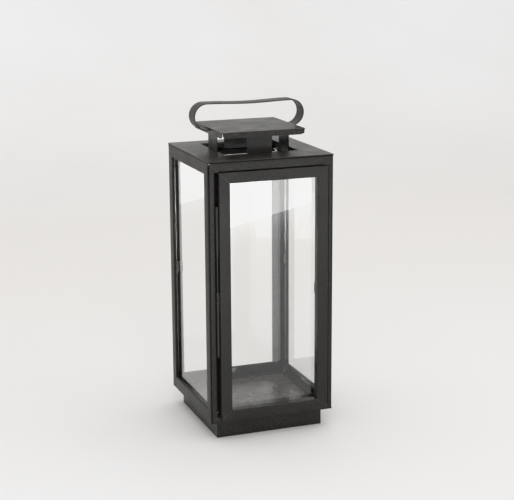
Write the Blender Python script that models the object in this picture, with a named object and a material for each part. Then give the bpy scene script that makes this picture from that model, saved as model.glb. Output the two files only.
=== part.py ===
"""Candle lantern in black sheet steel.

Four glazed walls of folded, mitred strip stand on a low plinth. The front wall holds a hinged door. A
crowned top plate has a square chimney hole, four straps hold a flat cap over it, and a strap handle runs
through the cap's lips. Origin: bottom centre, front towards -Y, +Z up, metres.
"""
import math

import bmesh
import bpy
from mathutils import Vector

# ---- driving dimensions (metres) ----
HEIGHT = 0.380            # floor to the top of the handle
HALF = 0.075              # half of the body's width and depth
BODY_BOTTOM = 0.0208      # underside of the four walls
WALL_TOP = 0.3229         # top of the four walls, under the top plate
GAP = 0.0003              # clearance between pieces that touch
SHEET = 0.0010            # frame sheet
PLATE = 0.0012            # top plate, cap, plinth and handle sheet
FOLD_RADIUS = 0.0009      # middle-line radius of a fold
CORNER_FOLD_RADIUS = 0.0006  # the same at the acute folds along the body's vertical corners

# glazed walls: left, right and back
FACE = 0.0154             # visible width of a stile and of the bottom rail
OPENING_TOP = 0.3090      # top of the wall's opening
SEAT = 0.0036             # depth of the rebate, to the back of the flange that the glass lies against
SEAT_WIDTH = 0.0028       # how far the seat flange runs back behind the face
CORNER_FLANGE = 0.0042    # depth of the mitred flange at the vertical corners
FRONT_FLANGE = 0.0028     # the same on the front wall's narrow stiles
RAIL_FLANGE = 0.0100      # depth of the flange along a rail's outer edge
GLASS = 0.0016            # pane thickness
GLASS_OVERLAP = 0.0029    # how far a pane reaches behind the face

# door aperture in the front wall
APERTURE_LEFT = -0.0675
APERTURE_RIGHT = 0.0688
APERTURE_BOTTOM = 0.0283
APERTURE_TOP = 0.3123
APERTURE_DEPTH = 0.0108   # depth of the aperture's side walls, to the back of the door stop
STOP_LEFT = 0.0095        # width of the door stop on the hinge side, which also closes the hinge recess
STOP_RIGHT = 0.0068
STOP_TOP = 0.0058
STOP_BOTTOM = 0.0017

# door
DOOR_LEFT = -0.0634
DOOR_RIGHT = 0.0675
DOOR_BOTTOM = 0.0248
DOOR_TOP = 0.3118
DOOR_PROUD = 0.0030       # how far the door's face stands in front of the wall
DOOR_DEPTH = 0.0125
DOOR_FACE = 0.0131        # visible width of the door's stiles
DOOR_TOP_FACE = 0.0122
DOOR_BOTTOM_FACE = 0.0115
DOOR_SEAT = 0.0095        # depth of the face that the door's glass lies against
DOOR_SEAT_WIDTH = 0.0040
DOOR_GLASS_OVERLAP = 0.0044
DOOR_STEP_UP = 0.0040     # the door's foot laps over the bottom rail by this much
DOOR_STEP_DEPTH = 0.0026
TIGHT_FOLD_RADIUS = 0.0006  # middle-line radius of the folds of the door and of small fittings

# hinge: a pin through two barrels on the wall and one knuckle on the door
HINGE_X = -0.0655
HINGE_Y = -0.0754
BARREL_RADIUS = 0.0018
PIN_RADIUS = 0.0010
BORE_RADIUS = 0.00106
LOWER_BARREL = (0.1012, 0.1569)
KNUCKLE = (0.1572, 0.1761)
UPPER_BARREL = (0.2178, 0.2740)
LUG_ROOT = 0.0013         # the knuckle's lug starts inside the knuckle's wall
LUG_HALF = 0.0012         # half of the lug's thickness
LUG_FOOT = 0.0008         # the lug is shorter than the knuckle by this much below
LUG_HEAD = 0.0050         # and by this much above

# plinth and floor
PLINTH_HALF = 0.0648
PLINTH_HEM = 0.0060       # width of the flange that rests on the table
PLINTH_TOP_FLANGE = 0.0072
FLOOR_HALF = 0.0647

# top plate, chimney and cap
PLATE_EDGE_TOP = 0.3244   # top of the plate along its outer edge
CROWN = 0.0016            # how much higher the plate is at the chimney hole
PLATE_EDGE_RADIUS = 0.0004  # of the top plate's and the plinth's edges
HOLE_HALF = 0.0445
LEG_WIDTH = 0.0300
FRONT_LEG_SHIFT = -0.0030  # the front leg is set a little to the left
LEG_TAIL = 0.0060         # how far a leg reaches down through the hole
LEG_TAB = 0.0080          # length of the tab that is welded under the cap
CAP_HALF = 0.0500
CAP_TOP = 0.3517
CAP_LIP = 0.0069
CAP_CORNER_CUT = 0.0015   # how far each lip stops short of the corner
CAP_CORNER_RADIUS = 0.0040

# handle
HANDLE_WIDTH = 0.0200
HANDLE_LEFT = -0.0689     # outside of the left bend
HANDLE_RIGHT = 0.0650     # outside of the right bend
HANDLE_TAIL = 0.0449      # distance of the strap's ends from the middle
BEND_STEPS = 16           # straight pieces in each round end
GRIP_STEPS = 12
HANDLE_SAG = 0.0014       # how far the grip dips between the bends
SLOT_MARGIN = 0.0005      # space beside the strap in the cap's slots

# glass clips, glass strips and the door catch
CLIP_WIDTH = 0.0120
CLIP_REACH = -0.0006      # the tongues stop this far behind the face's edge
CLIP_FOOT = 0.0040
TOP_STRIP_REACH = 0.0026  # how far the strip along a pane's head shows past the face's edge
BACK_STRIP_REACH = 0.0048  # the same for the upright strip on the back wall, on the catch side
STRIP_MARGIN = 0.0010     # space left at the ends of a strip
DOOR_CLIP_FOOT = 0.0010   # shorter, to clear the step in the door's foot
CATCH_Z = 0.2010
CATCH_X = 0.0637
MAGNET = (0.0030, 0.0040, 0.0114)
BRACKET_FOOT = 0.0050     # length of the bracket's two feet
KEEPER_FOOT = 0.0030      # the keeper's foot behind the door's face
KEEPER_TAB = 0.0035       # the keeper's plate in front of the magnet

BLACK = (0.038, 0.036, 0.034)
BLACK_DOOR = (0.036, 0.035, 0.034)
FLOOR_GREY = (0.060, 0.058, 0.056)
BARE_STEEL = (0.30, 0.29, 0.28)
MAGNET_GREY = (0.10, 0.10, 0.11)
CLEAR = (0.90, 0.95, 0.93)

WALL_ANGLES = {"front": 0.0, "right": 90.0, "back": 180.0, "left": 270.0}


# ---- scene, materials and objects ----
def clear_scene():
    """Remove whatever the scene holds."""
    for thing in list(bpy.data.objects):
        bpy.data.objects.remove(thing, do_unlink=True)


def finish_material(name, colour, roughness, metallic, alpha=1.0):
    """A Principled material of the piece's own."""
    material = bpy.data.materials.new(name)
    material.use_nodes = True
    shader = material.node_tree.nodes["Principled BSDF"]
    shader.inputs["Base Color"].default_value = (*colour, 1.0)
    shader.inputs["Roughness"].default_value = roughness
    shader.inputs["Metallic"].default_value = metallic
    shader.inputs["Alpha"].default_value = alpha
    material.diffuse_color = (*colour, alpha)
    return material


FINISHES = {
    "black": (BLACK, 0.45, 0.2, 1.0),
    "door": (BLACK_DOOR, 0.45, 0.2, 1.0),
    "floor": (FLOOR_GREY, 0.35, 0.3, 1.0),
    "steel": (BARE_STEEL, 0.35, 1.0, 1.0),
    "magnet": (MAGNET_GREY, 0.5, 0.3, 1.0),
    "glass": (CLEAR, 0.05, 0.0, 0.25),
}


def add_object(name, mesh, finish, location=(0.0, 0.0, 0.0), turn=0.0, parent=None):
    """Link a mesh as a named piece with its own material."""
    piece = bpy.data.objects.new(name, mesh)
    bpy.context.scene.collection.objects.link(piece)
    piece.location = location
    piece.rotation_euler = (0.0, 0.0, math.radians(turn))
    piece.parent = parent
    mesh.materials.append(finish_material(name, *FINISHES[finish]))
    return piece


def add_cutter(name, mesh):
    """A helper solid for a Boolean, which is not a piece."""
    cutter = bpy.data.objects.new(name, mesh)
    bpy.context.scene.collection.objects.link(cutter)
    cutter.hide_render = True
    cutter.display_type = "WIRE"
    return cutter


def combine(piece, operation, helper):
    """Join a helper solid to a piece, or cut it out of the piece."""
    modifier = piece.modifiers.new(operation.title() + " " + helper.name, "BOOLEAN")
    modifier.operation = operation
    modifier.solver = "EXACT"
    modifier.object = helper


def round_edges(piece, width, segments=2):
    """Break the piece's sharp edges."""
    modifier = piece.modifiers.new("Edge rounding", "BEVEL")
    modifier.width = width
    modifier.segments = segments
    modifier.limit_method = "ANGLE"
    modifier.angle_limit = math.radians(50.0)


# ---- solids ----
def mesh_from(name, vertices, faces):
    """A mesh whose faces all point outwards."""
    mesh = bpy.data.meshes.new(name)
    mesh.from_pydata([tuple(vertex) for vertex in vertices], [], faces)
    work = bmesh.new()
    work.from_mesh(mesh)
    bmesh.ops.recalc_face_normals(work, faces=work.faces)
    work.to_mesh(mesh)
    work.free()
    return mesh


def box_mesh(name, low, high):
    """A block between two corners."""
    corners = [(x, y, z) for z in (low[2], high[2]) for y in (low[1], high[1]) for x in (low[0], high[0])]
    faces = [(0, 2, 3, 1), (4, 5, 7, 6), (0, 1, 5, 4), (2, 6, 7, 3), (0, 4, 6, 2), (1, 3, 7, 5)]
    return mesh_from(name, corners, faces)


def prism_mesh(name, outline, place, near, far):
    """An outline of (a, b) points pushed from near to far; place(a, b, c) gives the point in space."""
    count = len(outline)
    vertices = [place(a, b, near) for a, b in outline] + [place(a, b, far) for a, b in outline]
    faces = [tuple(range(count)), tuple(range(2 * count - 1, count - 1, -1))]
    faces += [(i, (i + 1) % count, count + (i + 1) % count, count + i) for i in range(count)]
    return mesh_from(name, vertices, faces)


def ring_mesh(name, loops):
    """A square ring. The loops give its section's corners as (half width, height), in order."""
    vertices = []
    for half, height in loops:
        vertices += [(x * half, y * half, height) for x, y in ((-1, -1), (1, -1), (1, 1), (-1, 1))]
    faces = []
    for section in range(len(loops)):
        following = (section + 1) % len(loops)
        for side in range(4):
            across = (side + 1) % 4
            faces.append((4 * section + side, 4 * section + across,
                          4 * following + across, 4 * following + side))
    return mesh_from(name, vertices, faces)


def tube_mesh(name, outer, inner, low, high, segments=24):
    """A round tube standing on the Z axis, or a solid rod when inner is None."""
    rims = [(outer, low), (outer, high)]
    if inner is not None:
        rims += [(inner, high), (inner, low)]
    vertices = []
    for radius, height in rims:
        for step in range(segments):
            angle = 2.0 * math.pi * step / segments
            vertices.append((radius * math.cos(angle), radius * math.sin(angle), height))
    faces = []
    spans = 1 if inner is None else 4
    for rim in range(spans):
        following = (rim + 1) % len(rims)
        for step in range(segments):
            after = (step + 1) % segments
            faces.append((rim * segments + step, rim * segments + after,
                          following * segments + after, following * segments + step))
    if inner is None:
        faces.append(tuple(range(segments)))
        faces.append(tuple(range(2 * segments - 1, segments - 1, -1)))
    mesh = mesh_from(name, vertices, faces)
    mesh.shade_smooth()
    mesh.set_sharp_from_angle(angle=math.radians(40.0))
    return mesh


# ---- folded sheet ----
def with_folds(path, radii, steps=3):
    """Replace each corner of a path by an arc of its own radius."""
    points = [Vector(path[0])]
    for before, corner, after, radius in zip(path, path[1:], path[2:], radii):
        corner = Vector(corner)
        back = (Vector(before) - corner).normalized()
        ahead = (Vector(after) - corner).normalized()
        half_angle = back.angle(ahead) / 2.0
        reach = radius / math.tan(half_angle)
        centre = corner + (back + ahead).normalized() * radius / math.sin(half_angle)
        start = corner + back * reach - centre
        end = corner + ahead * reach - centre
        turn = start.angle(end)
        for step in range(steps + 1):
            share = step / steps
            blend = start * math.sin((1.0 - share) * turn) + end * math.sin(share * turn)
            points.append(centre + blend / math.sin(turn))
    points.append(Vector(path[-1]))
    return points


def sheet_section(path, thickness, radius, first_radius=None):
    """The two skins of a folded sheet, as pairs of points on either side of its middle line."""
    points = with_folds(path, [first_radius or radius] + [radius] * (len(path) - 3))
    pairs = []
    for index, point in enumerate(points):
        before = points[max(index - 1, 0)]
        after = points[min(index + 1, len(points) - 1)]
        ways = [step.normalized() for step in (point - before, after - point) if step.length > 1e-9]
        normals = [Vector((-way.y, way.x)) for way in ways]
        mean = sum(normals, Vector((0.0, 0.0))).normalized()
        reach = thickness / 2.0 / mean.dot(normals[0])
        pairs.append((point + mean * reach, point - mean * reach))
    return pairs


def swept_sheet(name, pairs, place, start, end):
    """Sweep a sheet section along a straight run. start(a, b) and end(a, b) give each point's ends."""
    vertices = []
    for ends in (start, end):
        for pair in pairs:
            vertices += [place(a, b, ends(a, b)) for a, b in pair]
    far = 2 * len(pairs)
    faces = []
    for index in range(len(pairs) - 1):
        left, right, next_left, next_right = (2 * index + offset for offset in range(4))
        faces.append((left, right, next_right, next_left))
        faces.append((far + left, far + right, far + next_right, far + next_left))
        faces.append((left, next_left, far + next_left, far + left))
        faces.append((right, next_right, far + next_right, far + right))
    last = far - 2
    faces.append((0, 1, far + 1, far))
    faces.append((last, last + 1, far + last + 1, far + last))
    return mesh_from(name, vertices, faces)


# ---- mitred frames ----
# A frame's section is drawn as (out, deep): out is the distance from the opening's edge towards the frame's
# outer edge, deep is the distance behind the frame's face. The frame lies in a wall seen from outside:
# x to the right, z up, and its face at y = face_y.
class Frame:
    """An opening with four members round it, mitred at the corners."""

    def __init__(self, opening, outer, face_y, plan_mitre):
        self.left, self.bottom, self.right, self.top = opening
        self.outer_left, self.outer_bottom, self.outer_right, self.outer_top = outer
        self.face_y = face_y
        self.plan_mitre = plan_mitre

    def widths(self):
        """Face width of the left, bottom, right and top members."""
        return {"left": self.left - self.outer_left, "bottom": self.bottom - self.outer_bottom,
                "right": self.outer_right - self.right, "top": self.outer_top - self.top}

    def member(self, name, side, pairs, seam=None):
        """One member. seam(side, neighbour) gives a mitre's (slope, shift) if it isn't corner to corner."""
        width = self.widths()
        neighbours = ("bottom", "top") if side in ("left", "right") else ("left", "right")
        limits = {"left": self.left, "right": self.right, "bottom": self.bottom, "top": self.top}
        signs = {"left": -1.0, "right": 1.0, "bottom": -1.0, "top": 1.0}

        def stop_at(neighbour):
            slope, shift = seam(side, neighbour) if seam else (width[neighbour] / width[side], 0.0)

            def position(out, deep):
                along = limits[neighbour] + signs[neighbour] * (slope * out + shift - GAP / 2.0)
                if side in ("bottom", "top") and self.plan_mitre:
                    corner = HALF - max(deep, 0.0) - GAP / 2.0
                    along = max(-corner, min(corner, along))
                return along

            return position

        def place(out, deep, along):
            across = limits[side] + signs[side] * out
            spot = (across, along) if side in ("left", "right") else (along, across)
            return Vector((spot[0], self.face_y + deep, spot[1]))

        return swept_sheet(name, pairs, place, stop_at(neighbours[0]), stop_at(neighbours[1]))


def corner_flange(width, depth):
    """The end of a stile's section: a flange on the diagonal between two walls."""
    half = SHEET / 2.0
    set_back = (GAP / 2.0 + half) * math.sqrt(2.0)
    return [(width - set_back - depth, depth), (width - set_back - half, half)]


def outer_flange(side, width, depth):
    """Flange along a member's outer edge, mitred on a stile and square on a rail, and its fold radius."""
    half = SHEET / 2.0
    if side in ("left", "right"):
        return corner_flange(width, depth), CORNER_FOLD_RADIUS
    return [(width - half, RAIL_FLANGE), (width - half, half)], FOLD_RADIUS


def wall_section(side, width):
    """Section of a glazed wall's member: outer flange, face, reveal, glass seat."""
    half = SHEET / 2.0
    start, first_fold = outer_flange(side, width, CORNER_FLANGE)
    rest = [(half, half), (half, SEAT - half), (SEAT_WIDTH, SEAT - half)]
    return sheet_section(start + rest, SHEET, FOLD_RADIUS, first_fold)


def front_section(side, width, stop):
    """Section of a front wall's member: outer flange, face, aperture wall, door stop."""
    half = SHEET / 2.0
    start, first_fold = outer_flange(side, width, FRONT_FLANGE)
    rest = [(half, half), (half, APERTURE_DEPTH - half), (-stop, APERTURE_DEPTH - half)]
    return sheet_section(start + rest, SHEET, FOLD_RADIUS, first_fold)


def door_section(side, width):
    """Section of a door member: outer edge, face, reveal, seat. The foot steps over the wall's rail."""
    half = SHEET / 2.0
    if side == "bottom":
        inner = width - DOOR_STEP_UP
        start = [(inner - half, DOOR_DEPTH), (inner - half, DOOR_STEP_DEPTH - half),
                 (width - half, DOOR_STEP_DEPTH - half), (width - half, half)]
    else:
        start = [(width - half, DOOR_DEPTH), (width - half, half)]
    rest = [(half, half), (half, DOOR_SEAT - half), (DOOR_SEAT_WIDTH, DOOR_SEAT - half)]
    return sheet_section(start + rest, SHEET, TIGHT_FOLD_RADIUS)


def clip_section(seat, glass_overlap, tongue, foot):
    """Section of a glass clip: foot on the back of the face, leg, tongue over the pane."""
    half = SHEET / 2.0
    leg = glass_overlap + GAP + half
    root = SHEET + GAP + half
    crest = seat + GLASS + 2.0 * GAP + half
    path = [(leg + foot, root), (leg, root), (leg, crest), (-tongue, crest)]
    return sheet_section(path, SHEET, FOLD_RADIUS)


# ---- the pieces ----
def build_base():
    """Plinth ring, open underneath, and the floor plate on top of it."""
    top = BODY_BOTTOM - GAP
    inner = PLINTH_HALF - PLATE
    plinth = ring_mesh("base_plinth", [
        (PLINTH_HALF, 0.0), (PLINTH_HALF, top), (PLINTH_HALF - PLINTH_TOP_FLANGE, top),
        (PLINTH_HALF - PLINTH_TOP_FLANGE, top - PLATE), (inner, top - PLATE), (inner, PLATE),
        (PLINTH_HALF - PLINTH_HEM, PLATE), (PLINTH_HALF - PLINTH_HEM, 0.0)])
    piece = add_object("base_plinth", plinth, "black")
    round_edges(piece, PLATE_EDGE_RADIUS)
    floor = box_mesh("floor_plate", (-FLOOR_HALF, -FLOOR_HALF, BODY_BOTTOM),
                     (FLOOR_HALF, FLOOR_HALF, BODY_BOTTOM + SHEET))
    add_object("floor_plate", floor, "floor")


def build_clip(name, frame, side, run, section, turn=0.0, parent=None):
    """A clip or strip along one member of a frame, from run[0] to run[1]."""
    pairs = clip_section(*section)
    limits = {"left": frame.left, "right": frame.right, "bottom": frame.bottom, "top": frame.top}
    sign = 1.0 if side in ("right", "top") else -1.0

    def place(out, deep, along):
        across = limits[side] + sign * out
        spot = (across, along) if side in ("left", "right") else (along, across)
        return Vector((spot[0], frame.face_y + deep, spot[1]))

    mesh = swept_sheet(name, pairs, place, lambda out, deep: run[0], lambda out, deep: run[1])
    return add_object(name, mesh, "steel", turn=turn, parent=parent)


def clip_run(frame, side):
    """Where a short clip lies along its member: across the middle."""
    ends = (frame.bottom, frame.top) if side in ("left", "right") else (frame.left, frame.right)
    centre = sum(ends) / 2.0
    return centre - CLIP_WIDTH / 2.0, centre + CLIP_WIDTH / 2.0


MEMBER_NAMES = {"left": "left_stile", "right": "right_stile", "bottom": "bottom_rail", "top": "top_rail"}


def build_glazed_wall(wall):
    """One of the three fixed glazed walls: four members, a pane, a strip along its head, clips elsewhere."""
    turn = WALL_ANGLES[wall]
    edge = HALF - FACE
    opening = (-edge, BODY_BOTTOM + FACE, edge, OPENING_TOP)
    frame = Frame(opening, (-HALF, BODY_BOTTOM, HALF, WALL_TOP), -HALF, plan_mitre=True)
    for side, width in frame.widths().items():
        name = wall + "_" + MEMBER_NAMES[side]
        add_object(name, frame.member(name, side, wall_section(side, width)), "black", turn=turn)
    pane_y = -HALF + SEAT + GAP
    pane = box_mesh(wall + "_glass", (frame.left - GLASS_OVERLAP, pane_y, frame.bottom - GLASS_OVERLAP),
                    (frame.right + GLASS_OVERLAP, pane_y + GLASS, frame.top + GLASS_OVERLAP))
    add_object(wall + "_glass", pane, "glass", turn=turn)
    for side in ("left", "right", "bottom", "top"):
        run, reach = clip_run(frame, side), CLIP_REACH
        if side == "top":
            run, reach = (frame.left + STRIP_MARGIN, frame.right - STRIP_MARGIN), TOP_STRIP_REACH
        elif (wall, side) == ("back", "left"):
            head = frame.top - TOP_STRIP_REACH
            run, reach = (frame.bottom + STRIP_MARGIN, head - STRIP_MARGIN), BACK_STRIP_REACH
        section = (SEAT, GLASS_OVERLAP, reach, CLIP_FOOT)
        build_clip(wall + "_clip_" + side, frame, side, run, section, turn=turn)


def head_gusset(name, side):
    """The corner of a front stile's head that reaches under the 45 degree seam."""
    sign = -1.0 if side == "left" else 1.0
    edge = APERTURE_LEFT if side == "left" else APERTURE_RIGHT
    meet = HALF - (PLATE_EDGE_TOP - APERTURE_TOP) + GAP / 2.0
    root = abs(edge) + 2.0 * SHEET
    outline = [(sign * root, APERTURE_TOP), (sign * meet, APERTURE_TOP),
               (sign * root, APERTURE_TOP + root - meet)]
    return prism_mesh(name, outline, lambda x, z, y: Vector((x, y, z)), -HALF, -HALF + SHEET)


def build_front_wall():
    """The fixed frame round the door, with its door stop and the recess for the hinge."""
    frame = Frame((APERTURE_LEFT, APERTURE_BOTTOM, APERTURE_RIGHT, APERTURE_TOP),
                  (-HALF, BODY_BOTTOM, HALF, WALL_TOP), -HALF, plan_mitre=True)
    stops = {"left": STOP_LEFT, "right": STOP_RIGHT, "bottom": STOP_BOTTOM, "top": STOP_TOP}
    names = {"left": "front_hinge_stile", "right": "front_catch_stile",
             "bottom": "front_bottom_rail", "top": "front_top_rail"}
    corner = HALF - (PLATE_EDGE_TOP - APERTURE_TOP)

    def seam(side, neighbour):
        """The head's seams run at 45 degrees from the outer corner, the foot's from corner to corner."""
        if "bottom" in (side, neighbour):
            widths = frame.widths()
            return widths[neighbour] / widths[side], 0.0
        stile = side if neighbour == "top" else neighbour
        shift = abs(APERTURE_LEFT if stile == "left" else APERTURE_RIGHT) - corner
        return 1.0, shift if neighbour == "top" else -shift

    pieces = {}
    for side, width in frame.widths().items():
        name = names[side]
        mesh = frame.member(name, side, front_section(side, width, stops[side]), seam)
        pieces[side] = add_object(name, mesh, "black")
    for side in ("left", "right"):
        gusset = add_cutter("gusset_" + side, head_gusset("gusset_" + side, side))
        combine(pieces[side], "UNION", gusset)
    half_x = MAGNET[0] / 2.0 + GAP
    half_z = MAGNET[2] / 2.0 + GAP
    stop_y = -HALF + APERTURE_DEPTH
    window = box_mesh("magnet_window", (CATCH_X - half_x, stop_y - 3.0 * SHEET, CATCH_Z - half_z),
                      (CATCH_X + half_x, stop_y + 2.0 * SHEET, CATCH_Z + half_z))
    combine(pieces["right"], "DIFFERENCE", add_cutter("magnet_window", window))


def build_hinge(axis):
    """Two barrels and a pin on the wall, one knuckle on the door."""
    place = (HINGE_X, HINGE_Y, 0.0)
    for name, (low, high) in (("hinge_barrel_lower", LOWER_BARREL), ("hinge_barrel_upper", UPPER_BARREL)):
        add_object(name, tube_mesh(name, BARREL_RADIUS, BORE_RADIUS, low, high), "black", location=place)
    pin = tube_mesh("hinge_pin", PIN_RADIUS, None, LOWER_BARREL[0], UPPER_BARREL[1])
    add_object("hinge_pin", pin, "black", location=place)
    low, high = KNUCKLE
    knuckle = add_object("door_knuckle", tube_mesh("door_knuckle", BARREL_RADIUS, BORE_RADIUS, low, high),
                         "door", parent=axis)
    reach = DOOR_LEFT - HINGE_X - GAP / 2.0
    lug_shape = box_mesh("knuckle_lug", (LUG_ROOT, -LUG_HALF, low + LUG_FOOT),
                         (reach, LUG_HALF, high - LUG_HEAD))
    lug = add_cutter("knuckle_lug", lug_shape)
    lug.parent = axis
    combine(knuckle, "UNION", lug)


def build_door(axis):
    """The door: four mitred members, a pane, clips and the catch's keeper, all turning on the hinge axis."""
    offset = Vector((-HINGE_X, -HINGE_Y, 0.0))
    frame = Frame((DOOR_LEFT + DOOR_FACE + offset.x, DOOR_BOTTOM + DOOR_BOTTOM_FACE,
                   DOOR_RIGHT - DOOR_FACE + offset.x, DOOR_TOP - DOOR_TOP_FACE),
                  (DOOR_LEFT + offset.x, DOOR_BOTTOM, DOOR_RIGHT + offset.x, DOOR_TOP),
                  -HALF - DOOR_PROUD + offset.y, plan_mitre=False)
    names = {"left": "door_hinge_stile", "right": "door_free_stile",
             "bottom": "door_bottom_rail", "top": "door_top_rail"}
    notch = box_mesh("foot_notch",
                     (frame.outer_left - SHEET, frame.face_y + DOOR_STEP_DEPTH, DOOR_BOTTOM - SHEET),
                     (frame.outer_right + SHEET, frame.face_y + DOOR_DEPTH + SHEET,
                      DOOR_BOTTOM + DOOR_STEP_UP))
    notch_cutter = add_cutter("foot_notch", notch)
    notch_cutter.parent = axis
    for side, width in frame.widths().items():
        mesh = frame.member(names[side], side, door_section(side, width))
        piece = add_object(names[side], mesh, "door", parent=axis)
        if side in ("left", "right"):
            combine(piece, "DIFFERENCE", notch_cutter)
    pane_y = frame.face_y + DOOR_SEAT + GAP
    overlap = DOOR_GLASS_OVERLAP
    pane = box_mesh("door_glass", (frame.left - overlap, pane_y, frame.bottom - overlap),
                    (frame.right + overlap, pane_y + GLASS, frame.top + overlap))
    add_object("door_glass", pane, "glass", parent=axis)
    section = (DOOR_SEAT, overlap, CLIP_REACH, DOOR_CLIP_FOOT)
    for side in ("left", "right", "bottom", "top"):
        build_clip("door_clip_" + side, frame, side, clip_run(frame, side), section, parent=axis)


def build_catch(axis):
    """A block magnet behind the catch stile, its bracket, and the plate on the door that it holds."""
    half_x = MAGNET[0] / 2.0
    half_z = MAGNET[2] / 2.0
    door_back = -HALF - DOOR_PROUD + DOOR_DEPTH
    front = door_back + GAP / 2.0
    magnet = box_mesh("catch_magnet", (CATCH_X - half_x, front, CATCH_Z - half_z),
                      (CATCH_X + half_x, front + MAGNET[1], CATCH_Z + half_z))
    add_object("catch_magnet", magnet, "magnet")
    back = front + MAGNET[1] + GAP + SHEET / 2.0
    foot_y = -HALF + APERTURE_DEPTH + GAP + SHEET / 2.0
    wall = half_z + GAP + SHEET / 2.0
    path = [(foot_y, -wall - BRACKET_FOOT), (foot_y, -wall), (back, -wall),
            (back, wall), (foot_y, wall), (foot_y, wall + BRACKET_FOOT)]
    bracket = swept_sheet("catch_bracket", sheet_section(path, SHEET, TIGHT_FOLD_RADIUS),
                          lambda y, z, x: Vector((x, y, CATCH_Z + z)),
                          lambda y, z: CATCH_X - half_x, lambda y, z: CATCH_X + half_x)
    add_object("catch_bracket", bracket, "steel")
    plate_y = door_back - GAP / 2.0 - SHEET / 2.0
    face_y = -HALF - DOOR_PROUD + SHEET + GAP + SHEET / 2.0
    leg_x = DOOR_RIGHT - SHEET - GAP - SHEET / 2.0
    path = [(leg_x - KEEPER_FOOT, face_y), (leg_x, face_y), (leg_x, plate_y), (leg_x - KEEPER_TAB, plate_y)]
    keeper = swept_sheet("door_keeper", sheet_section(path, SHEET, TIGHT_FOLD_RADIUS),
                         lambda x, y, z: Vector((x - HINGE_X, y - HINGE_Y, z)),
                         lambda x, y: CATCH_Z - half_z, lambda x, y: CATCH_Z + half_z)
    add_object("door_keeper", keeper, "steel", parent=axis)


def build_top():
    """Crowned plate with the chimney hole, and the four straps that carry the cap."""
    edge_low = WALL_TOP + GAP
    plate = ring_mesh("top_plate", [(HALF, edge_low), (HALF, PLATE_EDGE_TOP),
                                    (HOLE_HALF, PLATE_EDGE_TOP + CROWN), (HOLE_HALF, edge_low + CROWN)])
    round_edges(add_object("top_plate", plate, "black"), PLATE_EDGE_RADIUS)
    half = SHEET / 2.0
    stand = HOLE_HALF - GAP - half
    under_cap = CAP_TOP - PLATE - GAP
    path = [(stand, PLATE_EDGE_TOP - LEG_TAIL), (stand, under_cap - half),
            (stand - LEG_TAB, under_cap - half)]
    for wall, turn in WALL_ANGLES.items():
        name = "chimney_leg_" + wall
        middle = FRONT_LEG_SHIFT if wall == "front" else 0.0
        leg = swept_sheet(name, sheet_section(path, SHEET, FOLD_RADIUS),
                          lambda out, z, x: Vector((middle + x, -out, z)),
                          lambda out, z: -LEG_WIDTH / 2.0, lambda out, z: LEG_WIDTH / 2.0)
        add_object(name, leg, "black", turn=turn)


def lip_outline():
    """A lip seen from outside: straight top, rounded lower corners."""
    reach = CAP_HALF - CAP_CORNER_CUT
    low = CAP_TOP - CAP_LIP
    points = [(reach, CAP_TOP - PLATE / 2.0)]
    for step in range(5):
        angle = math.radians(-90.0 * step / 4.0)
        points.append((reach - CAP_CORNER_RADIUS + CAP_CORNER_RADIUS * math.cos(angle),
                       low + CAP_CORNER_RADIUS + CAP_CORNER_RADIUS * math.sin(angle)))
    return points + [(-x, z) for x, z in reversed(points)]


def build_cap():
    """Flat cap with four folded lips, open at the corners, slotted for the handle."""
    slab = box_mesh("chimney_cap", (-CAP_HALF, -CAP_HALF, CAP_TOP - PLATE), (CAP_HALF, CAP_HALF, CAP_TOP))
    cap = add_object("chimney_cap", slab, "black")
    for wall, turn in WALL_ANGLES.items():
        mesh = prism_mesh("lip_" + wall, lip_outline(), lambda x, z, y: Vector((x, y, z)),
                          -CAP_HALF, -CAP_HALF + PLATE)
        lip = add_cutter("lip_" + wall, mesh)
        lip.rotation_euler = (0.0, 0.0, math.radians(turn))
        combine(cap, "UNION", lip)
    half_slot = HANDLE_WIDTH / 2.0 + SLOT_MARGIN
    slot_top = CAP_TOP - PLATE - GAP / 6.0
    slot = box_mesh("handle_slots", (-CAP_HALF - PLATE, -half_slot, slot_top - PLATE - 2.0 * GAP),
                    (CAP_HALF + PLATE, half_slot, slot_top))
    combine(cap, "DIFFERENCE", add_cutter("handle_slots", slot))


def handle_path():
    """Middle line of the strap in the XZ plane: tail, round end, sagging grip, round end, tail."""
    low = CAP_TOP - PLATE - GAP - PLATE / 2.0
    high = HEIGHT - PLATE / 2.0
    radius = (high - low) / 2.0
    left = HANDLE_LEFT + PLATE / 2.0 + radius
    right = HANDLE_RIGHT - PLATE / 2.0 - radius
    middle = low + radius

    def bend(centre, side):
        """Half circle from the low tail up to the grip, on the left (-1) or right (1)."""
        angles = [math.pi * (step / BEND_STEPS - 0.5) for step in range(BEND_STEPS + 1)]
        return [Vector((centre + side * radius * math.cos(angle), middle + radius * math.sin(angle)))
                for angle in angles]

    grip = []
    for step in range(1, GRIP_STEPS):
        share = step / GRIP_STEPS
        dip = HANDLE_SAG * math.sin(math.pi * share) ** 2
        grip.append(Vector((left + (right - left) * share, high - dip)))
    return ([Vector((-HANDLE_TAIL, low))] + bend(left, -1.0) + grip + bend(right, 1.0)[::-1]
            + [Vector((HANDLE_TAIL, low))])


def strap_section(points, thickness):
    """The two skins of a strap along its middle line."""
    pairs = []
    for index, point in enumerate(points):
        ahead = points[min(index + 1, len(points) - 1)] - points[max(index - 1, 0)]
        normal = Vector((-ahead.y, ahead.x)).normalized() * thickness / 2.0
        pairs.append((point + normal, point - normal))
    return pairs


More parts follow.
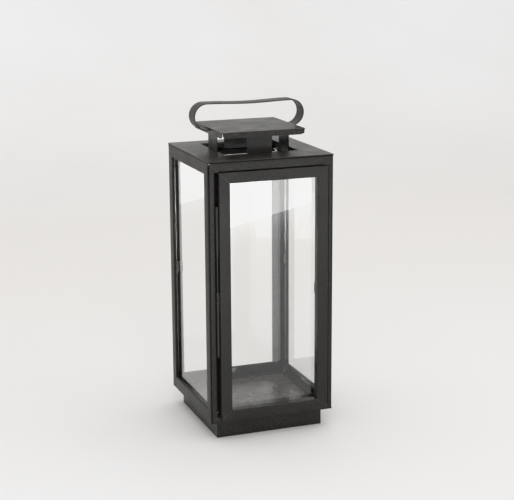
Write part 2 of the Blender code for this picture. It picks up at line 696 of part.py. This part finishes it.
def build_handle():
    """Flat strap bent into a long loop, its tails under the cap."""
    mesh = swept_sheet("carry_handle", strap_section(handle_path(), PLATE), lambda x, z, y: Vector((x, y, z)),
                       lambda x, z: -HANDLE_WIDTH / 2.0, lambda x, z: HANDLE_WIDTH / 2.0)
    mesh.shade_smooth()
    mesh.set_sharp_from_angle(angle=math.radians(40.0))
    add_object("carry_handle", mesh, "black")


def main():
    clear_scene()
    axis = bpy.data.objects.new("door_axis", None)
    axis.location = (HINGE_X, HINGE_Y, 0.0)
    bpy.context.scene.collection.objects.link(axis)
    build_base()
    for wall in ("left", "right", "back"):
        build_glazed_wall(wall)
    build_front_wall()
    build_door(axis)
    build_hinge(axis)
    build_catch(axis)
    build_top()
    build_cap()
    build_handle()


main()
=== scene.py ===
"""Looks for the candle lantern: powder-coated black steel, clear glass, a pale studio."""
import math

import bmesh
import bpy
from mathutils import Matrix, Vector


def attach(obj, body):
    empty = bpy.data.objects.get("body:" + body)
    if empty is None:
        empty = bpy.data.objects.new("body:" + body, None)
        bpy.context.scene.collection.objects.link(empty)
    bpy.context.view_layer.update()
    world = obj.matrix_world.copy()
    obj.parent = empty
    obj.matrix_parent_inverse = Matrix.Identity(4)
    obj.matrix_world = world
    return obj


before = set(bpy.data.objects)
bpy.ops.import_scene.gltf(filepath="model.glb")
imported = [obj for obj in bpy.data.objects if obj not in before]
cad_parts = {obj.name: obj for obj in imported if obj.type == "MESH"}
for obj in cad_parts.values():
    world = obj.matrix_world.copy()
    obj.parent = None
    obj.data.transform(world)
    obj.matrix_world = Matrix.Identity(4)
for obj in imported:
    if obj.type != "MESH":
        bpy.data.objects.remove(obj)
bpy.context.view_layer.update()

# ---- camera, metres and degrees ----
CAMERA_AZIMUTH = -20.39       # left of the front
CAMERA_ELEVATION = 13.456
CAMERA_ROLL = -0.339
CAMERA_DISTANCE = 1.59592
CAMERA_TARGET = Vector((0.009557, 0.0, 0.202125))
LENS = 94.57                  # mm
SENSOR_WIDTH = 36.0           # mm

# ---- film: scene values and how bright they show, straight at first and then rolling off ----
FILM_SHOULDER = ((0.72, 0.72), (0.92, 0.87), (1.2, 0.91))
FILM_WHITE = 1.6              # the scene value at the end of the curve
FILM_TOP = 0.93               # and how bright it shows
ALL_CHANNELS = 3              # the curve that acts on red, green and blue together

# ---- studio, metres and watts ----
FLOOR_WIDTH = 7.0
FLOOR_FRONT = -3.2
SWEEP_START = 1.5             # where the floor starts to curve up into the backdrop
SWEEP_RADIUS = 1.4
SWEEP_STEPS = 24
BACKDROP_TOP = 3.2
PAPER_NEAR = (0.870, 0.880, 0.900)
# the paper turns into each tone between the two distances behind the lantern's middle: painted shade in the
# middle distance, painted light up the backdrop, in place of how the lamps fall
PAPER_SHADE_AND_LIGHT = (
    (-0.2, 0.7, (0.830, 0.815, 0.800)),
    (1.1, 2.3, (0.940, 0.955, 0.980)),
)
PAPER_STAIN = (0.800, 0.785, 0.775)
STAIN_AMOUNT = 0.35
PAPER_ROUGHNESS = 0.9
PAPER_SHINE = 0.1
AIR_COLOUR = (1.0, 0.975, 0.945)
AIR_STRENGTH = 0.85
# name, place, aim, width and height, power
LIGHTS = (
    ("softbox_left", (-0.5, -2.0, 1.7), (0.0, 0.0, 0.2), (1.2, 1.2), 10.0),
    ("softbox_top", (0.3, 0.2, 2.4), (0.0, 0.0, 0.2), (1.8, 1.8), 9.5),
    # stands on the floor in front and to the right: the door's pane mirrors its lower edge
    ("low_strip", (0.45, -1.213, 0.045), (1.026, -0.396, 0.045), (2.4, 0.09), 3.6),
)

# ---- rounding of the CAD meshes ----
EDGE_WIDTH = 0.00016          # metres, of every cut sheet edge
EDGE_ANGLE = 28.0             # degrees; folds are shallower and are shaded smooth
SAME_PLACE = 0.000004         # metres; corners closer than this are one corner
FLAT_ANGLE = 0.3              # degrees; faces that differ by less are one face
NORMAL_WEIGHT = 60

# ---- colours of the finishes ----
BLACK = (0.0110, 0.0104, 0.0098)
FLOOR_GREY = (0.062, 0.060, 0.057)
STEEL_GREY = (0.2, 0.2, 0.2)
FERRITE_GREY = (0.03, 0.03, 0.032)
DUST = (0.13, 0.12, 0.105)
THIN_PAINT = (0.060, 0.057, 0.054)
# paint on the upper edges: partly rubbed bright, partly a painted highlight
HIGHLIGHT_AND_WEAR_PAINT = (0.260, 0.250, 0.240)
GLASS_TINT = (0.972, 0.976, 0.972)
GLASS_SHADOW = (0.91, 0.915, 0.91)
GLASS_IOR = 1.5

# ---- unevenness: noise scale per metre, detail, roughness, and the noise that counts as 0 and as 1 ----
STAINS = (1.7, 3.0, 0.5, 0.35, 0.65)
BLOTCHES = (22.0, 4.0, 0.6, 0.35, 0.65)
GLOSS = (48.0, 4.0, 0.6, 0.3, 0.7)
DUSTING = (75.0, 5.0, 0.65, 0.35, 0.75)
RUBBING_AND_HIGHLIGHT = (90.0, 3.0, 0.6, 0.30, 0.60)
THINNING = (160.0, 3.0, 0.6, 0.40, 0.62)
SPECKS = (950.0, 2.0, 0.6, 0.54, 0.70)
SPARKLE = (950.0, 2.0, 0.6, 0.34, 0.66)
PEEL = (700.0, 2.0, 0.5)
GRAIN = (2600.0, 2.0, 0.6)

# ---- how strongly the unevenness shows; factors on the colour, the shine, the wear and the painted edge highlight ----
BLOTCH_DARK = 0.84
BLOTCH_LIGHT = 1.18
SPECK_LIGHT = 2.2
SPECK_AMOUNT = 0.55
DUST_AMOUNT = 0.25
DUST_ROUGHNESS = 0.25         # added where the dust is full
SLIGHT_WEAR_AND_HIGHLIGHT = 0.35
GLOSS_LOW = -0.05             # added to the roughness
GLOSS_HIGH = 0.06
SPARKLE_LOW = 0.4
SPARKLE_HIGH = 1.6
PEEL_DEPTH = 0.000018         # metres
GRAIN_DEPTH = 0.000008
WEAR_AND_HIGHLIGHT_REACH = 0.0006           # metres from an edge
EDGE_TURN = (0.98, 0.80)      # cosine of the edge's turn where the edge marks start, and are full: wear, and on the upper edges also a painted highlight
UPTURNED = (0.15, 0.55)       # height of the normal on an upper edge, the same way
LEVEL = (0.6, 1.0)            # and on a face that holds dust

# ---- mitred frames, metres, as seen from outside ----
WALL_OUTER = {"left": -0.0750, "right": 0.0750, "foot": 0.0208, "head": 0.3229}
WALL_INNER = {"left": -0.0596, "right": 0.0596, "foot": 0.0362, "head": 0.3090}
FRONT_INNER = {"left": -0.0675, "right": 0.0688, "foot": 0.0283, "head": 0.3123}
DOOR_OUTER = {"left": -0.0634, "right": 0.0675, "foot": 0.0248, "head": 0.3118}
DOOR_INNER = {"left": -0.0503, "right": 0.0544, "foot": 0.0363, "head": 0.2996}
WALL_FACE = -0.0750           # front of the walls' sheet
DOOR_FACE = -0.0780
SHEET = 0.0010
WALL_TURNS = {"right": 90.0, "back": 180.0, "left": 270.0}

# ---- welds, metres ----
SEAM_WIDTH = 0.0024           # of the weld behind each mitre
SEAM_DEPTH = 0.0004
SEAM_GAP = 0.00004            # between the sheet and the weld behind it
SEAM_MARGIN = 0.14            # part of the mitre that is left bare at each end
KNUCKLE_BEAD = (-0.0639, -0.0773, 0.1728)
BEAD_RADIUS = 0.0009
BEAD_SWELL = 0.12             # part of the radius by which the bead swells and shrinks
BEAD_WAVES = (3.0, 7.0)       # across and up, radians to a radius
BEAD_DEPTH = 0.7              # parts of the radius
BEAD_HEIGHT = 1.25


# ---- node helpers ----
def shader(name):
    """A new material, with its node tree and its Principled node."""
    material = bpy.data.materials.new(name)
    material.use_nodes = True
    tree = material.node_tree
    return material, tree, tree.nodes["Principled BSDF"]


def add(tree, kind, **properties):
    """A node of this kind, with its properties set by name."""
    node = tree.nodes.new(kind)
    for key, value in properties.items():
        setattr(node, key, value)
    return node


def noise(tree, scale, detail, roughness):
    """Noise in the piece's own coordinates; its features are about 1/scale metres."""
    place = add(tree, "ShaderNodeTexCoord")
    node = add(tree, "ShaderNodeTexNoise")
    node.inputs["Scale"].default_value = scale
    node.inputs["Detail"].default_value = detail
    node.inputs["Roughness"].default_value = roughness
    tree.links.new(place.outputs["Object"], node.inputs["Vector"])
    return node.outputs["Fac"]


def remap(tree, source, low, high, to_low=0.0, to_high=1.0):
    """Source stretched from low..high to to_low..to_high and clamped."""
    node = add(tree, "ShaderNodeMapRange")
    for name, value in zip(("From Min", "From Max", "To Min", "To Max"), (low, high, to_low, to_high)):
        node.inputs[name].default_value = value
    tree.links.new(source, node.inputs["Value"])
    return node.outputs["Result"]


def uneven(tree, pattern, to_low=0.0, to_high=1.0):
    """A value that wanders between to_low and to_high over the surface."""
    scale, detail, roughness, low, high = pattern
    return remap(tree, noise(tree, scale, detail, roughness), low, high, to_low, to_high)


def math_node(tree, operation, first, second):
    """Two values combined by this operation; each is a number or a socket."""
    node = add(tree, "ShaderNodeMath", operation=operation)
    for socket, value in zip(node.inputs, (first, second)):
        if isinstance(value, (int, float)):
            socket.default_value = value
        else:
            tree.links.new(value, socket)
    return node.outputs["Value"]


def mix_colour(tree, factor, first, second):
    """The first colour turned into the second by a factor; each is a colour or a socket."""
    node = add(tree, "ShaderNodeMix", data_type="RGBA")
    tree.links.new(factor, node.inputs["Factor"])
    for name, value in (("A", first), ("B", second)):
        socket = next(s for s in node.inputs if s.name == name and s.type == "RGBA")
        if isinstance(value, tuple):
            socket.default_value = (*value, 1.0)
        else:
            tree.links.new(value, socket)
    return next(s for s in node.outputs if s.type == "RGBA")


def component(tree, vector, axis):
    """One component of a vector socket."""
    node = add(tree, "ShaderNodeSeparateXYZ")
    tree.links.new(vector, node.inputs["Vector"])
    return node.outputs[axis]


def bump(tree, height, depth):
    """A bump node for a surface that is this uneven, in metres."""
    node = add(tree, "ShaderNodeBump")
    node.inputs["Strength"].default_value = 1.0
    node.inputs["Distance"].default_value = depth
    tree.links.new(height, node.inputs["Height"])
    return node


def scaled(colour, factor):
    """The colour made darker or lighter."""
    return tuple(channel * factor for channel in colour)


# ---- finishes ----
def dust_mask(tree):
    """Patches of dust on the faces that look up."""
    plain = add(tree, "ShaderNodeNewGeometry")
    upward = remap(tree, component(tree, plain.outputs["Normal"], "Z"), *LEVEL)
    dusty = math_node(tree, "MULTIPLY", upward, uneven(tree, DUSTING))
    return math_node(tree, "MULTIPLY", dusty, DUST_AMOUNT)


def edge_masks(tree):
    """Two masks: 1 on every edge, and 1 on the edges between an upward face and an upright one."""
    rounded = add(tree, "ShaderNodeBevel", samples=4)
    rounded.inputs["Radius"].default_value = WEAR_AND_HIGHLIGHT_REACH
    plain = add(tree, "ShaderNodeNewGeometry")
    turn = add(tree, "ShaderNodeVectorMath", operation="DOT_PRODUCT")
    tree.links.new(rounded.outputs["Normal"], turn.inputs[0])
    tree.links.new(plain.outputs["Normal"], turn.inputs[1])
    every = remap(tree, turn.outputs["Value"], *EDGE_TURN)
    upturned = remap(tree, component(tree, rounded.outputs["Normal"], "Z"), *UPTURNED)
    return every, math_node(tree, "MULTIPLY", every, upturned)


def worn_and_highlit(tree, paint, wear_and_highlight):
    """The paint worn thin along every edge, and lighter along the upper ones: partly rubbed, partly a painted
    highlight where the light from above catches them.
    """
    every, upper = edge_masks(tree)
    thin = math_node(tree, "MULTIPLY", every, uneven(tree, THINNING, 0.0, SLIGHT_WEAR_AND_HIGHLIGHT * wear_and_highlight))
    paint = mix_colour(tree, thin, paint, THIN_PAINT)
    # painted highlight mixed with rubbing: the upper edges lighter, as where the light from above catches
    # them
    bright = math_node(tree, "MULTIPLY", upper, uneven(tree, RUBBING_AND_HIGHLIGHT, SLIGHT_WEAR_AND_HIGHLIGHT * wear_and_highlight, wear_and_highlight))
    return mix_colour(tree, bright, paint, HIGHLIGHT_AND_WEAR_PAINT)


def powder_coat(name, colour, roughness, wear_and_highlight=1.0, shine=0.30):
    """Satin powder coat: orange peel, fine grain, faint blotches, dust, edges worn thin, and upper edges
    lighter with rubbing and a painted highlight.
    """
    material, tree, surface = shader(name)
    blotched = scaled(colour, BLOTCH_DARK), scaled(colour, BLOTCH_LIGHT)
    paint = mix_colour(tree, uneven(tree, BLOTCHES), *blotched)
    paint = mix_colour(tree, uneven(tree, SPECKS, 0.0, SPECK_AMOUNT), paint, scaled(colour, SPECK_LIGHT))
    dusty = dust_mask(tree)
    paint = worn_and_highlit(tree, mix_colour(tree, dusty, paint, DUST), wear_and_highlight)
    tree.links.new(paint, surface.inputs["Base Color"])

    gloss = uneven(tree, GLOSS, roughness + GLOSS_LOW, roughness + GLOSS_HIGH)
    gloss = math_node(tree, "ADD", gloss, math_node(tree, "MULTIPLY", dusty, DUST_ROUGHNESS))
    tree.links.new(gloss, surface.inputs["Roughness"])
    sparkle = uneven(tree, SPARKLE, shine * SPARKLE_LOW, shine * SPARKLE_HIGH)
    tree.links.new(sparkle, surface.inputs["Specular IOR Level"])

    peel = bump(tree, noise(tree, *PEEL), PEEL_DEPTH)
    fine = bump(tree, noise(tree, *GRAIN), GRAIN_DEPTH)
    tree.links.new(peel.outputs["Normal"], fine.inputs["Normal"])
    tree.links.new(fine.outputs["Normal"], surface.inputs["Normal"])
    return material


def pane(name):
    """Clear float glass with a faint tint. Lamps shine through it."""
    material, tree, surface = shader(name)
    surface.inputs["Base Color"].default_value = (*GLASS_TINT, 1.0)
    surface.inputs["Transmission Weight"].default_value = 1.0
    surface.inputs["Roughness"].default_value = 0.0
    surface.inputs["IOR"].default_value = GLASS_IOR
    clear = add(tree, "ShaderNodeBsdfTransparent")
    clear.inputs["Color"].default_value = (*GLASS_SHADOW, 1.0)
    rays = add(tree, "ShaderNodeLightPath")
    choose = add(tree, "ShaderNodeMixShader")
    tree.links.new(rays.outputs["Is Shadow Ray"], choose.inputs["Fac"])
    tree.links.new(surface.outputs["BSDF"], choose.inputs[1])
    tree.links.new(clear.outputs["BSDF"], choose.inputs[2])
    tree.links.new(choose.outputs["Shader"], tree.nodes["Material Output"].inputs["Surface"])
    return material


def studio_paper(name):
    """Matt paper with painted shade and light graded from the front of the studio to its back, and faint
    broad stains.
    """
    material, tree, surface = shader(name)
    place = add(tree, "ShaderNodeTexCoord")
    behind = component(tree, place.outputs["Object"], "Y")
    tone = PAPER_NEAR
    # painted shade and then painted light, graded with the distance behind the lantern
    for near, far, colour in PAPER_SHADE_AND_LIGHT:
        tone = mix_colour(tree, remap(tree, behind, near, far), tone, colour)
    tone = mix_colour(tree, uneven(tree, STAINS, 0.0, STAIN_AMOUNT), tone, PAPER_STAIN)
    tree.links.new(tone, surface.inputs["Base Color"])
    surface.inputs["Roughness"].default_value = PAPER_ROUGHNESS
    surface.inputs["Specular IOR Level"].default_value = PAPER_SHINE
    return material


# colour and roughness of each slot's finish, and of the two duller ones that coat_of() gives
FINISHES = {
    "body_black": powder_coat("body_powder_coat", BLACK, 0.32, shine=0.26),
    "door_black": powder_coat("door_powder_coat", BLACK, 0.33, shine=0.28),
    "handle_black": powder_coat("handle_powder_coat", BLACK, 0.38, wear_and_highlight=0.25),
    "floor_black": powder_coat("floor_powder_coat", FLOOR_GREY, 0.26, shine=0.85),
    "hinge_black": powder_coat("hinge_powder_coat", BLACK, 0.30),
    "wall_black": powder_coat("wall_powder_coat", BLACK, 0.30, shine=0.13),
    "clip_black": powder_coat("clip_powder_coat", BLACK, 0.60, shine=0.10),
    "fitting_steel": powder_coat("fitting_metal", STEEL_GREY, 0.35),
    "magnet_ferrite": powder_coat("ferrite", FERRITE_GREY, 0.6),
    "clear_glass": pane("float_glass"),
}


# ---- the lantern: CAD nodes with rounded edges and real finishes ----
def round_edges(piece):
    """Rounds the cut edges of a CAD node and shades its folds smooth."""
    weld = piece.modifiers.new("Weld", "WELD")
    weld.merge_threshold = SAME_PLACE
    flats = piece.modifiers.new("Flats", "DECIMATE")
    flats.decimate_type = "DISSOLVE"
    flats.angle_limit = math.radians(FLAT_ANGLE)
    bevel = piece.modifiers.new("Edges", "BEVEL")
    bevel.width = EDGE_WIDTH
    bevel.segments = 2
    bevel.limit_method = "ANGLE"
    bevel.angle_limit = math.radians(EDGE_ANGLE)
    bevel.use_clamp_overlap = True
    normals = piece.modifiers.new("Normals", "WEIGHTED_NORMAL")
    normals.keep_sharp = False
    normals.weight = NORMAL_WEIGHT


def coat_of(name, slot):
    """The finish of a CAD node: three walls and the strips over the panes are duller than the rest."""
    if name.endswith("_clip_top"):
        return "clip_black"
    if slot == "body_black" and name.startswith(("left_", "right_", "back_")) and "_clip_" not in name:
        return "wall_black"
    return slot


for name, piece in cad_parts.items():
    slot = piece.data.materials[0].name
    piece.data.materials[0] = FINISHES[coat_of(name, slot)]
    round_edges(piece)


# ---- welds ----
def to_mesh(name, shape):
    """The finished mesh of a shape, which is then let go."""
    mesh = bpy.data.meshes.new(name)
    shape.to_mesh(mesh)
    shape.free()
    return mesh


def add_piece(name, mesh, slot, body, place=(0.0, 0.0, 0.0), turn=0.0):
    """Shows a mesh as a piece of this body, with the finish of its slot."""
    mesh.materials.append(FINISHES[slot])
    piece = bpy.data.objects.new(name, mesh)
    piece.location = place
    piece.rotation_euler = (0.0, 0.0, math.radians(turn))
    bpy.context.scene.collection.objects.link(piece)
    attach(piece, body)


def seam_mesh(name, outer, inner, face):
    """A flat weld lying behind a mitre, from near the frame's outer corner to near its inner corner."""
    start = outer.lerp(inner, SEAM_MARGIN)
    end = outer.lerp(inner, 1.0 - SEAM_MARGIN)
    half = Vector((start.y - end.y, end.x - start.x)).normalized() * SEAM_WIDTH / 2.0
    near = face + SHEET + SEAM_GAP
    corners = (start - half, start + half, end + half, end - half)
    shape = bmesh.new()
    rings = [[shape.verts.new((c.x, y, c.y)) for c in corners] for y in (near, near + SEAM_DEPTH)]
    shape.faces.new(rings[0])
    shape.faces.new(reversed(rings[1]))
    for i in range(len(corners)):
        after = (i + 1) % len(corners)
        shape.faces.new((rings[0][i], rings[1][i], rings[1][after], rings[0][after]))
    bmesh.ops.recalc_face_normals(shape, faces=shape.faces)
    return to_mesh(name, shape)


def weld_seams(frame_name, outer, inner, face, slot, body, turn=0.0):
    """The four welds that close the mitres of one frame."""
    for end in ("foot", "head"):
        for side in ("left", "right"):
            name = f"seam_{frame_name}_{end}_{side}"
            corner = Vector((outer[side], outer[end]))
            opening = Vector((inner[side], inner[end]))
            add_piece(name, seam_mesh(name, corner, opening, face), slot, body, turn=turn)


def square_head(outer, inner):
    """The inner edge with its sides moved so that the head's seams run at 45 degrees."""
    drop = outer["head"] - inner["head"]
    return {**inner, "left": outer["left"] + drop, "right": outer["right"] - drop}


def bead_mesh(name):
    """A small uneven drop of weld metal."""
    across, up = BEAD_WAVES
    shape = bmesh.new()
    bmesh.ops.create_icosphere(shape, subdivisions=3, radius=BEAD_RADIUS)
    for vertex in shape.verts:
        x, y, z = vertex.co
        swell = 1.0 + BEAD_SWELL * math.sin(up * z / BEAD_RADIUS + across * x / BEAD_RADIUS)
        vertex.co = Vector((x * swell, y * BEAD_DEPTH, z * BEAD_HEIGHT * swell))
    for face in shape.faces:
        face.smooth = True
    return to_mesh(name, shape)


for wall, turn in WALL_TURNS.items():
    weld_seams(wall, WALL_OUTER, WALL_INNER, WALL_FACE, "body_black", "lantern", turn)
weld_seams("front", WALL_OUTER, square_head(WALL_OUTER, FRONT_INNER), WALL_FACE, "body_black", "lantern")
weld_seams("door", DOOR_OUTER, DOOR_INNER, DOOR_FACE, "door_black", "door")
add_piece("knuckle_bead", bead_mesh("knuckle_bead"), "hinge_black", "door", KNUCKLE_BEAD)


# ---- studio ----
def sweep_mesh(name):
    """Floor that curves up into a backdrop, as one smooth sheet."""
    profile = [(FLOOR_FRONT, 0.0), (SWEEP_START, 0.0)]
    for step in range(1, SWEEP_STEPS + 1):
        angle = math.radians(90.0 * step / SWEEP_STEPS)
        profile.append((SWEEP_START + SWEEP_RADIUS * math.sin(angle), SWEEP_RADIUS * (1.0 - math.cos(angle))))
    profile.append((SWEEP_START + SWEEP_RADIUS, BACKDROP_TOP))
    shape = bmesh.new()
    rows = [[shape.verts.new((x, y, z)) for y, z in profile] for x in (-FLOOR_WIDTH / 2, FLOOR_WIDTH / 2)]
    for i in range(len(profile) - 1):
        face = shape.faces.new((rows[0][i], rows[1][i], rows[1][i + 1], rows[0][i + 1]))
        face.smooth = True
    return to_mesh(name, shape)


def area_light(name, place, aim, size, power):
    """A white rectangular light that faces its aim."""
    lamp = bpy.data.lights.new(name, "AREA")
    lamp.shape = "RECTANGLE"
    lamp.size, lamp.size_y = size
    lamp.energy = power
    light = bpy.data.objects.new(name, lamp)
    light.location = place
    light.rotation_euler = (Vector(aim) - Vector(place)).to_track_quat("-Z", "Y").to_euler()
    bpy.context.scene.collection.objects.link(light)


floor = bpy.data.objects.new("studio_sweep", sweep_mesh("studio_sweep"))
bpy.context.scene.collection.objects.link(floor)
floor.data.materials.append(studio_paper("studio_paper"))

world = bpy.data.worlds.new("studio_air")
bpy.context.scene.world = world
world.use_nodes = True
air = world.node_tree.nodes["Background"]
air.inputs["Color"].default_value = (*AIR_COLOUR, 1.0)
air.inputs["Strength"].default_value = AIR_STRENGTH
for light_values in LIGHTS:
    area_light(*light_values)


# ---- camera and film ----
def film_shoulder(settings):
    """A tone curve that is straight up to its first point and then rolls off to the film's white."""
    settings.use_curve_mapping = True
    mapping = settings.curve_mapping
    mapping.white_level = (FILM_WHITE, FILM_WHITE, FILM_WHITE)
    curve = mapping.curves[ALL_CHANNELS]
    curve.points[-1].location = (1.0, FILM_TOP)
    for value, shown in FILM_SHOULDER:
        curve.points.new(value / FILM_WHITE, shown)
    for point in curve.points:
        point.handle_type = "VECTOR"
    mapping.update()


azimuth = math.radians(CAMERA_AZIMUTH)
elevation = math.radians(CAMERA_ELEVATION)
back = Vector((
    math.sin(azimuth) * math.cos(elevation),
    -math.cos(azimuth) * math.cos(elevation),
    math.sin(elevation),
))
roll = Matrix.Rotation(math.radians(CAMERA_ROLL), 3, "Z").to_quaternion()
camera = bpy.data.objects.new("camera", bpy.data.cameras.new("camera"))
camera.data.lens = LENS
camera.data.sensor_width = SENSOR_WIDTH
camera.location = CAMERA_TARGET + back * CAMERA_DISTANCE
camera.rotation_mode = "QUATERNION"
camera.rotation_quaternion = (-back).to_track_quat("-Z", "Y") @ roll
bpy.context.scene.collection.objects.link(camera)
bpy.context.scene.camera = camera
bpy.context.scene.view_settings.view_transform = "Standard"
film_shoulder(bpy.context.scene.view_settings)
